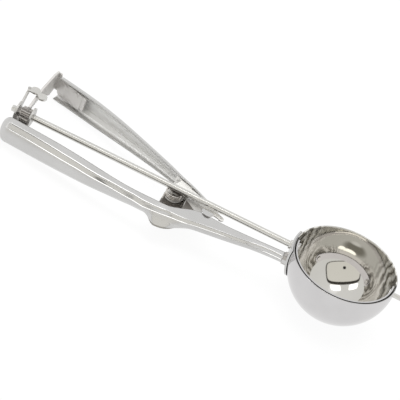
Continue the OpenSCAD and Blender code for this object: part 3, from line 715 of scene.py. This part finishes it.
rim_r = BOWL_WALL / 2
rim_z = RIM - rim_r
rim_mid = (math.sqrt(BOWL_R ** 2 - rim_z ** 2) + math.sqrt(BOWL_IN ** 2 - rim_z ** 2)) / 2
WALL_STEPS, RIM_STEPS, TURN_STEPS = 72, 9, 208
profile = arc(BOWL_R, -math.pi / 2, math.asin(rim_z / BOWL_R), WALL_STEPS)
profile += arc(rim_r, 0.15, math.pi - 0.15, RIM_STEPS, rim_mid, rim_z)
profile += arc(BOWL_IN, math.asin(rim_z / BOWL_IN), -math.pi / 2, WALL_STEPS)
bowl = revolve("bowl_shell", [(max(0, r), z) for r, z in profile], "z", TURN_STEPS)
HOLE_HALF = 3
for x, r in ((-BOWL_R, BUSH_R), (BOWL_R, PIVOT_HOLE_R)):
    x0, x1 = x - HOLE_HALF, x + HOLE_HALF
    boolean_cut(bowl, revolve("cutter", [(0, x0), (r, x0), (r, x1), (0, x1)], "x", 48))
shade(bowl, 40)
for poly in bowl.data.polygons:
    c = poly.center / MM
    # the inner, near half of the rim is painted near-black, as painted shade of the gap by the blade
    painted_shade_rim = c.z > rim_z and c.y < 3 and math.hypot(c.x, c.y) < rim_mid + 0.1
    poly.material_index = 2 if painted_shade_rim else 1 if poly.center.dot(poly.normal) < 0 else 0
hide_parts("bowl")
finish_piece(bowl, "frame", (BOWL_MAT, BOWL_INSIDE, PAINTED_SHADE_MAT))

# ---------------------------------------------------------------- wiper blade: its face on the bowl gets painted shade
blade = cad_copy("wiper_blade", "blade", 0.12, 30)
for poly in blade.data.polygons:
    outside = (poly.center / MM).length > BLADE_R - 0.1 and poly.center.dot(poly.normal) > 0
    poly.material_index = 1 if outside else 0
finish_piece(blade, "wiper", (BOWL_MAT, PAINTED_SHADE_MAT))

# ---------------------------------------------------------------- rod, saddle and the small pieces
ROD_END_ROUND = 0.6
rod_profile = rounded([(0, ROD_REAR), (ROD_R, ROD_REAR), (ROD_R, ROD_FRONT), (0, ROD_FRONT)], ROD_END_ROUND, 6)
rod = revolve("rod_bar", rod_profile, "x", 64)
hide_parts("wiper_rod")
finish_piece(rod, "wiper", ROD_MAT)

saddle = cad_copy("saddle_plate", "bowl_saddle", 0.15)
for poly in saddle.data.polygons:
    c = poly.center / MM
    # faces turned to the bowl get painted shade, the dark of the gap between saddle and bowl
    faces_bowl = poly.center.normalized().dot(poly.normal) < -0.5
    foot = c.x < -29 and c.z < -1.5
    poly.material_index = 1 if faces_bowl else 2 if foot else 0
finish_piece(saddle, "frame", (POLISHED, PAINTED_SHADE_MAT, GEAR_MAT))

for name, node, body, mat, slot, width in (
        ("bush_ring", "rod_bush", "frame", ROD_MAT, "rod_steel", 0.15),
        ("bracket_plate", "pinion_bracket", "frame", SATIN, "satin_steel", 0.12),
        ("bracket_rivet_pair", "bracket_rivets", "frame", RIVET_MAT, "rod_steel", 0.12),
        ("guide_plate", "rack_guide", "frame", ROD_MAT, "rod_steel", 0.2),
        ("guide_rivet_head", "guide_rivet", "frame", RIVET_MAT, "rod_steel", 0.1),
        ("hinge_pin_bar", "hinge_pin", "frame", ROD_MAT, "rod_steel", 0.15),
        ("lever_plates", "lever_bracket", "lever", PAINTED_LIGHT_PLATE_MAT, "satin_steel", 0.1),
        ("lever_rivet_pair", "lever_rivets", "lever", RIVET_MAT, "rod_steel", 0.1),
        ("rack_arm", "rack", "lever", RACK_MAT, "rod_steel", 0.08),
        ("rack_rivet_pair", "rack_rivets", "lever", RACK_MAT, "rod_steel", 0.12),
        ("pinion_gear", "pinion", "wiper", GEAR_MAT, "satin_steel", 0.05),
        ("pinion_cross_pin", "pinion_pin", "wiper", RIVET_MAT, "rod_steel", 0.08),
        ("washer_pair", "thrust_washers", "wiper", RIVET_MAT, "rod_steel", 0.05),
        ("pivot_pin_bar", "pivot_pin", "wiper", ROD_MAT, "rod_steel", 0.2),
        ("rod_nut_ring", "rod_nut", "wiper", RIVET_MAT, "rod_steel", 0.15)):
    finish_piece(cad_copy(name, node, width), body, mat)

# ---------------------------------------------------------------- hinge bracket: window over the coil, two webs
WINDOW = [(-101.6, -16.0), (-89.6, -16.0), (-89.6, -0.8), (-93.5, -0.8), (-95.2, -2.4), (-101.6, -6.0)]
WEB = [(-90.4, -0.6), (-89.5, -11.2), (-85.5, -9.5), (-82.0, -8.0), (-79.6, -6.2), (-79.4, -3.2), (-83.6, 0.0)]
BASE = [(-96.0, -6.0), (-96.0, 4.0), (-93.5, 8.0), (-88.5, 7.2), (-84.0, 4.0), (-82.5, -4.0), (-84.0, -8.5),
        (-90.0, -8.5)]
WINDOW_Z, WEB_Z, BASE_Z = (-7.6, -2.0), (-2.8, -2.15), (PLATES_LOW, PLATES_LOW + 0.65)
plates = cad_copy("hinge_frame_plates", "hinge_bracket", 0.08)
boolean_cut(plates, prism("cutter", WINDOW, WINDOW_Z, 0))
# the bracket's plates and its base take the painted shade
finish_piece(plates, "frame", HINGE_SHADE_MAT)
web = prism("hinge_web", WEB, WEB_Z, 0.12)
finish_piece(web, "frame", SATIN)
base = prism("hinge_base", BASE, BASE_Z, 0.1)
finish_piece(base, "frame", HINGE_SHADE_MAT)

# ---------------------------------------------------------------- rack plate's rounded seat in the lever
# corners as (u, z, radius, first angle), and how far it stands from the rod, all in the lever's frame
SEAT_CORNERS = ((93.2, MID_Z + 3.9, 0.9, 0), (78.4, MID_Z + 3.6, 1.2, 90),
                (79.2, MID_Z - 3.0, 2.0, 180), (92.6, MID_Z - 3.6, 1.4, 270))
SEAT_V = (8.25, 8.39)
seat = []
for u, z, r, a0 in SEAT_CORNERS:
    for k in range(7):
        a = math.radians(a0 + 15 * k)
        seat.append((u + r * math.cos(a), z + r * math.sin(a)))
skin = prism("rack_seat", seat, SEAT_V, 0.05)
# (u, z, v) to (-u, v, z)
skin.data.transform(Matrix(((-1, 0, 0, 0), (0, 0, 1, 0), (0, 1, 0, 0), (0, 0, 0, 1))))
recalc(skin)
finish_piece(to_lever(skin), "lever", RACK_MAT)

# ---------------------------------------------------------------- nose lobe, over the flange of the grip
LOBE = [(-80.0, -4.7), (-80.2, -5.6), (-79.7, -7.2), (-78.5, -8.3), (-76.7, -9.05), (-75.0, -8.7), (-73.9, -7.2),
        (-73.4, -6.0), (-73.6, -5.2)]
STEM = [(-78.0, -6.0), (-75.0, -6.0), (-75.0, -4.6), (-78.0, -4.6)]
LOBE_Z, STEM_Z = (-0.65, -0.2), (-3.0, -0.6)
lobe = prism("nose_lobe", LOBE, LOBE_Z, 0.1)
finish_piece(lobe, "lever", POLISHED)
stem = prism("nose_lobe_stem", STEM, STEM_Z, 0.1)
finish_piece(stem, "lever", PAINTED_LIGHT_PLATE_MAT)

# ---------------------------------------------------------------- return spring
COIL_R, WIRE_R, COIL_STEPS = 4.4, 0.45, 150
# room for the two lower plates with their gaps, and the underside of the upper ones
PLATES_ROOM, PLATES_TOP = 1.7, -3.8
COIL_LOW, COIL_TOP = PLATES_LOW + PLATES_ROOM + WIRE_R, PLATES_TOP - WIRE_R
COIL_TURN = 360 * 2 + 150
path = [(-COIL_R, t, COIL_LOW) for t in np.linspace(-7, -0.3, 12)]
for k in range(COIL_STEPS + 1):
    t = k / COIL_STEPS
    a = math.radians(180 + t * COIL_TURN)
    path.append((COIL_R * math.cos(a), COIL_R * math.sin(a), mix(COIL_LOW, COIL_TOP, t)))
a = math.radians(180 + COIL_TURN + 90)
end = np.array(path[-1])
for t in np.linspace(0.4, 4.4, 9):
    path.append(tuple(end + np.array([math.cos(a), math.sin(a), 0]) * t))
path = [(p[0] + HINGE[0], p[1] + HINGE[1], p[2]) for p in path]
spring = tube_along("spring_coil", path, WIRE_R * 0.99, 16)
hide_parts("return_spring")
finish_piece(spring, "frame", SPRING_MAT)

# ---------------------------------------------------------------- camera, fitted to the photograph
EL, AZ, ROLL = math.radians(38.01), math.radians(-4.59), math.radians(23.38)
FOCAL_PX, PHOTO_PX, SENSOR = 1903.7, 400, 36
DISTANCE = 1.0  # metres
AIM = Vector((-83.45, -0.12, 0)) * MM
look = Vector((math.cos(EL) * math.sin(AZ), math.cos(EL) * math.cos(AZ), -math.sin(EL)))
level = Vector((math.cos(AZ), -math.sin(AZ), 0))
upright = level.cross(look)
right = level * math.cos(ROLL) + upright * math.sin(ROLL)
up = upright * math.cos(ROLL) - level * math.sin(ROLL)

cam_data = bpy.data.cameras.new("camera")
cam_data.sensor_width = SENSOR
cam_data.lens = FOCAL_PX * SENSOR / PHOTO_PX
cam_data.clip_end = 20
cam = add_object("camera", cam_data)
position = AIM - look * DISTANCE
cam.matrix_world = Matrix([(right[i], up[i], -look[i], position[i]) for i in range(3)] + [(0, 0, 0, 1)])
bpy.context.scene.camera = cam
bpy.context.scene.view_settings.view_transform = "Standard"


# ---------------------------------------------------------------- floor and light
def floor_tilt():
    """Tilt of the floor that touches the bowl's bottom and the rear end of the handles."""
    px, pz = -190.0, MID_Z - GRIP_H
    lo, hi = 0.0, 0.3
    for _ in range(60):
        mid = (lo + hi) / 2
        if -px * math.sin(mid) - pz * math.cos(mid) < BOWL_R:
            lo = mid
        else:
            hi = mid
    return (lo + hi) / 2


def mix_shader(nt, fac, a, b):
    node = nt.nodes.new("ShaderNodeMixShader")
    for inp, value in zip(node.inputs, (fac, a, b)):
        nt.links.new(value, inp)
    return node.outputs[0]


def glow(nt, strength):
    node = nt.nodes.new("ShaderNodeEmission")
    node.inputs[0].default_value = (1, 1, 1, 1)
    node.inputs[1].default_value = strength
    return node.outputs[0]


def floor_white():
    """White to the camera with a faint shadow, and plain white in every reflection."""
    mat, nt, out = new_material("floor_white")
    diffuse = nt.nodes.new("ShaderNodeBsdfDiffuse")
    diffuse.inputs[0].default_value = (0.9, 0.9, 0.9, 1)
    rays = nt.nodes.new("ShaderNodeLightPath").outputs
    seen = mix_shader(nt, times(nt, rays["Is Camera Ray"], 0.93), diffuse.outputs[0], glow(nt, 1.0))
    mirrored = math_node(nt, "MAXIMUM", rays["Is Glossy Ray"], rays["Is Transmission Ray"])
    nt.links.new(mix_shader(nt, mirrored, seen, glow(nt, 0.92)), out.inputs[0])
    return mat


FLOOR_HALF = 2.6  # metres
me = bpy.data.meshes.new("floor")
me.from_pydata([(FLOOR_HALF * x, FLOOR_HALF * y, 0) for x, y in ((-1, -1), (1, -1), (1, 1), (-1, 1))], [],
               [(0, 1, 2, 3)])
me.materials.append(floor_white())
floor = add_object("floor", me)
tilt = floor_tilt()
down = Vector((-math.sin(tilt), 0, -math.cos(tilt)))
floor.matrix_world = Matrix.Translation(down * (BOWL_R + 0.05) * MM) @ Matrix.Rotation(tilt, 4, "Y")

light = bpy.data.lights.new("tent_light", "AREA")
light.shape = "RECTANGLE"
light.size, light.size_y = 0.9, 0.7
light.energy = 9.0
key = add_object("tent_light", light)
key.location = (-0.1, 0.1, 1.0)
key.visible_glossy = False

# ---------------------------------------------------------------- world: the white tent that the steel reflects
world = bpy.data.worlds.new("tent")
bpy.context.scene.world = world
world.use_nodes = True
sky = world.node_tree
sky.nodes.clear()
ray = sky.nodes.new("ShaderNodeTexCoord").outputs["Generated"]
sep = sky.nodes.new("ShaderNodeSeparateXYZ")
sky.links.new(ray, sep.inputs[0])
ray_z = sep.outputs["Z"]
rays = sky.nodes.new("ShaderNodeLightPath").outputs


def direction(el, az):
    """Unit vector at an elevation, azimuth counted from +Y towards +X."""
    e, a = math.radians(el), math.radians(az)
    return Vector((math.cos(e) * math.sin(a), math.cos(e) * math.cos(a), math.sin(e)))


def dot(vec):
    node = sky.nodes.new("ShaderNodeVectorMath")
    node.operation = "DOT_PRODUCT"
    sky.links.new(ray, node.inputs[0])
    node.inputs[1].default_value = vec
    return node.outputs["Value"]


def panel(c, s, x0, x1, y0, y1, soft, power=6.0):
    """Mask of a rounded panel in the tent, in the tangent plane at direction c with s to its right."""
    front = math_node(sky, "MAXIMUM", dot(c), 0.02)
    powers = []
    for axis, lo, hi in ((s, x0, x1), (c.cross(s), y0, y1)):
        place = math_node(sky, "SUBTRACT", math_node(sky, "DIVIDE", dot(axis), front), (lo + hi) / 2)
        share = math_node(sky, "ABSOLUTE", math_node(sky, "DIVIDE", place, (hi - lo) / 2))
        powers.append(math_node(sky, "POWER", share, power))
    r = math_node(sky, "POWER", math_node(sky, "ADD", *powers), 1 / power)
    return step(sky, r, 1 + soft, 1 - soft)


def blob(el, az, half, soft):
    """Round mask about a direction, half angle and soft edge in degrees."""
    return step(sky, dot(direction(el, az)), math.cos(math.radians(half + soft)),
                math.cos(math.radians(max(0, half - soft))))


def layer(base, mask, color, when=None):
    """Lays a colour over the tone, where the mask is 1 and, if given, for the rays that when picks."""
    return mix_color(sky, mask if when is None else times(sky, mask, when), base, (*color, 1))


# reflections seen at once, and those seen in another reflection
first = step(sky, rays["Glossy Depth"], 1.8, 1.2)
second = step(sky, rays["Glossy Depth"], 1.2, 1.8)
tone = ramp(sky, map_range(sky, ray_z, -1, 1), [
    (0.0, (0.92, 0.92, 0.92)), (0.5, (0.92, 0.92, 0.92)), (0.62, (0.88, 0.88, 0.87)),
    (0.85, (0.86, 0.86, 0.86)), (1.0, (0.9, 0.9, 0.9))])
# a reflection in a reflection finds bright sides, a dark roof and two lamps over the far side
tone = layer(tone, step(sky, ray_z, 0.70, 0.60), (1.2, 1.175, 1.2), second)
tone = layer(tone, blob(72, 10, 24, 9), (0.34, 0.33, 0.30), second)
for az, half in ((-50, 0.16), (-10, 0.36)):
    far_dir = direction(50, az)
    far_right = far_dir.cross(Vector((0, 0, 1))).normalized()
    tone = layer(tone, panel(far_dir, far_right, -half, half, -0.12, 0.12, 0.2, 3.0), (2.6, 2.57, 2.5), second)
# the tent is brightest at the top, on the camera's side
tone = layer(tone, blob(86, 185, 7, 5), (1.1, 1.1, 1.12))
# the opening of the tent round the camera: its dark edge, what lies beyond it and the camera
for box, color in (((-0.93, 0.66, -0.33, 0.66, 0.03), (0.06, 0.055, 0.05)),
                   ((-0.87, 0.60, -0.30, 0.51, 0.04), (0.88, 0.865, 0.82)),
                   ((-0.19, -0.07, -0.12, 0.0, 0.2, 2.0), (0.03, 0.03, 0.03))):
    tone = layer(tone, panel(-look, right, *box), color, first)
# two lamps over the opening
for x0, x1 in ((-0.86, -0.36), (0.05, 0.54)):
    tone = layer(tone, panel(-look, right, x0, x1, 0.69, 1.08, 0.12), (2.6, 2.6, 2.6), first)
# the camera itself sees plain white
background = sky.nodes.new("ShaderNodeBackground")
sky.links.new(mix_color(sky, rays["Is Camera Ray"], tone, (1, 1, 1, 1)), background.inputs[0])
background.inputs[1].default_value = 1.0
sky.links.new(background.outputs[0], sky.nodes.new("ShaderNodeOutputWorld").inputs[0])
